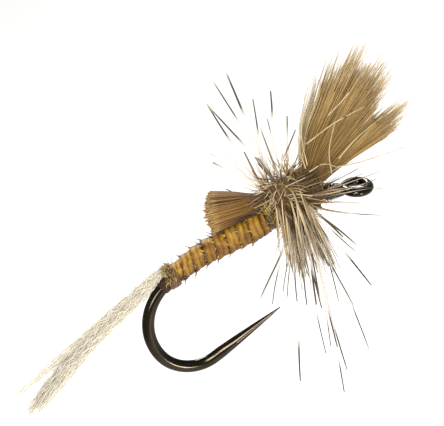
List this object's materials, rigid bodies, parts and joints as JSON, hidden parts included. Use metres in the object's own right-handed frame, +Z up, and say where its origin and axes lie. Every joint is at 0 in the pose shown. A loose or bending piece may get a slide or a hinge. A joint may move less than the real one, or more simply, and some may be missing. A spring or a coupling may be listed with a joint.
{
  "type": "dry fly",
  "caption": "Dry fly on a barbless down-eye hook: shuck tail, wound biot body, dubbed thorax, barred hackle and a forward-leaning fibre wing with trimmed butts.",
  "frame": {"origin": "centre of the hook eye's ring", "axes": "+X forward along the shank, the way the tippet leaves; +Z up, with the bend and the point of the hook below the shank; +Y to the fly's left; the hook lies in the XZ plane"},
  "size_m": [0.0192, 0.0126, 0.0128],
  "materials": {
    "hook_wire": "gloss",
    "thread": "satin",
    "tie_thread": "satin",
    "shuck_yarn": "satin",
    "biot": "satin",
    "wing_fibre": "matte",
    "dubbing": "matte",
    "hackle": "satin",
    "head_thread": "satin",
    "varnish": "polished"
  },
  "bodies": {
    "root": {"hook": "hook_wire", "thread_base": "thread", "thread_underbody": "thread", "tail_lock_left": "shuck_yarn", "tail_lock_middle": "shuck_yarn", "tail_lock_right": "shuck_yarn", "tail_tie_wraps": "tie_thread", "abdomen_biot": "biot", "abdomen_tie_wraps": "tie_thread", "wing_lock_1": "wing_fibre", "wing_lock_2": "wing_fibre", "wing_lock_3": "wing_fibre", "wing_lock_4": "wing_fibre", "wing_lock_5": "wing_fibre", "wing_tie_wraps": "thread", "thorax_dubbing": "dubbing", "hackle_feather": "hackle", "head_thread": "head_thread", "head_varnish": "varnish"}
  },
  "joints": []
}
